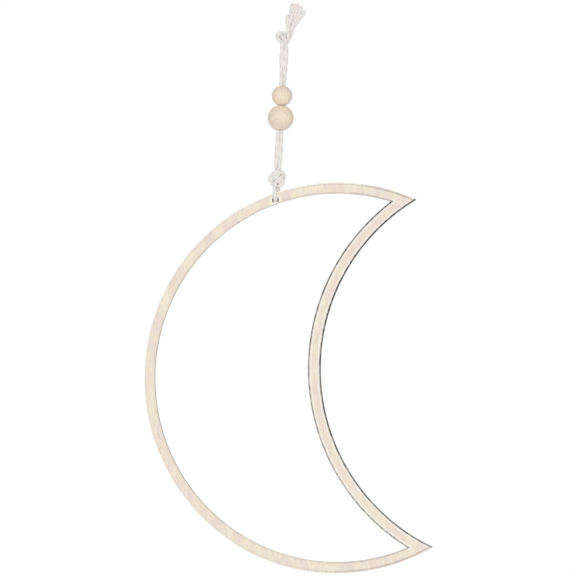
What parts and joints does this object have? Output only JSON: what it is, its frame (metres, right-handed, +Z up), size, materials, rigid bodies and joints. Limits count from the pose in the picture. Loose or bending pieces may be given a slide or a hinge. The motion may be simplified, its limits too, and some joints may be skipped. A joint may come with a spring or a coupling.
{
  "type": "moon wall hanging",
  "caption": "Open crescent moon outline of thin plywood, hung from a knotted doubled cotton cord that carries round wooden beads.",
  "frame": {"origin": "where the nail sits, between the two strands of cord and right under the upper knot, in the board's middle plane", "axes": "+X to the right as the front is looked at, +Y into the wall, +Z up; the crescent's board lies in the XZ plane"},
  "size_m": [0.2255, 0.02, 0.4394],
  "materials": {
    "face_veneer": "pale birch veneer, sanded and unvarnished, with cut edges scorched brown by the laser",
    "core_veneer": "plywood core, seen only at the cut edges, which the laser scorched brown",
    "bead_wood": "turned pale hardwood, smooth and unvarnished",
    "cotton_cord": "natural off-white cotton, three plies laid up, matt and slightly hairy"
  },
  "bodies": {
    "hanger": {"strand_left": "cotton_cord", "strand_right": "cotton_cord", "top_knot_left": "cotton_cord", "top_knot_right": "cotton_cord", "cord_end_left": "cotton_cord", "cord_end_right": "cotton_cord"},
    "small_bead": {"small_bead": "bead_wood"},
    "large_bead": {"large_bead": "bead_wood"},
    "loop": {"lower_knot": "cotton_cord"},
    "moon": {"moon_front_ply": "face_veneer", "moon_core_ply": "core_veneer", "moon_back_ply": "face_veneer"}
  },
  "joints": [
    {"name": "small_bead_slide", "type": "slide", "parent": "hanger", "child": "small_bead", "axis": [0.0593, 0, 0.9982], "range_m": [0, 0.012]},
    {"name": "large_bead_slide", "type": "slide", "parent": "hanger", "child": "large_bead", "axis": [0.0593, 0, 0.9982], "range_m": [-0.028, 0]},
    {"name": "moon_turn", "type": "hinge", "parent": "hanger", "child": "loop", "pos_m": [0, 0, 0], "axis": [0.0593, 0, 0.9982], "range_deg": [-90, 90]},
    {"name": "moon_swing", "type": "hinge", "parent": "loop", "child": "moon", "pos_m": [-0.00703, 0, -0.11839], "axis": [0, 1, 0], "range_deg": [-12, 50]}
  ]
}
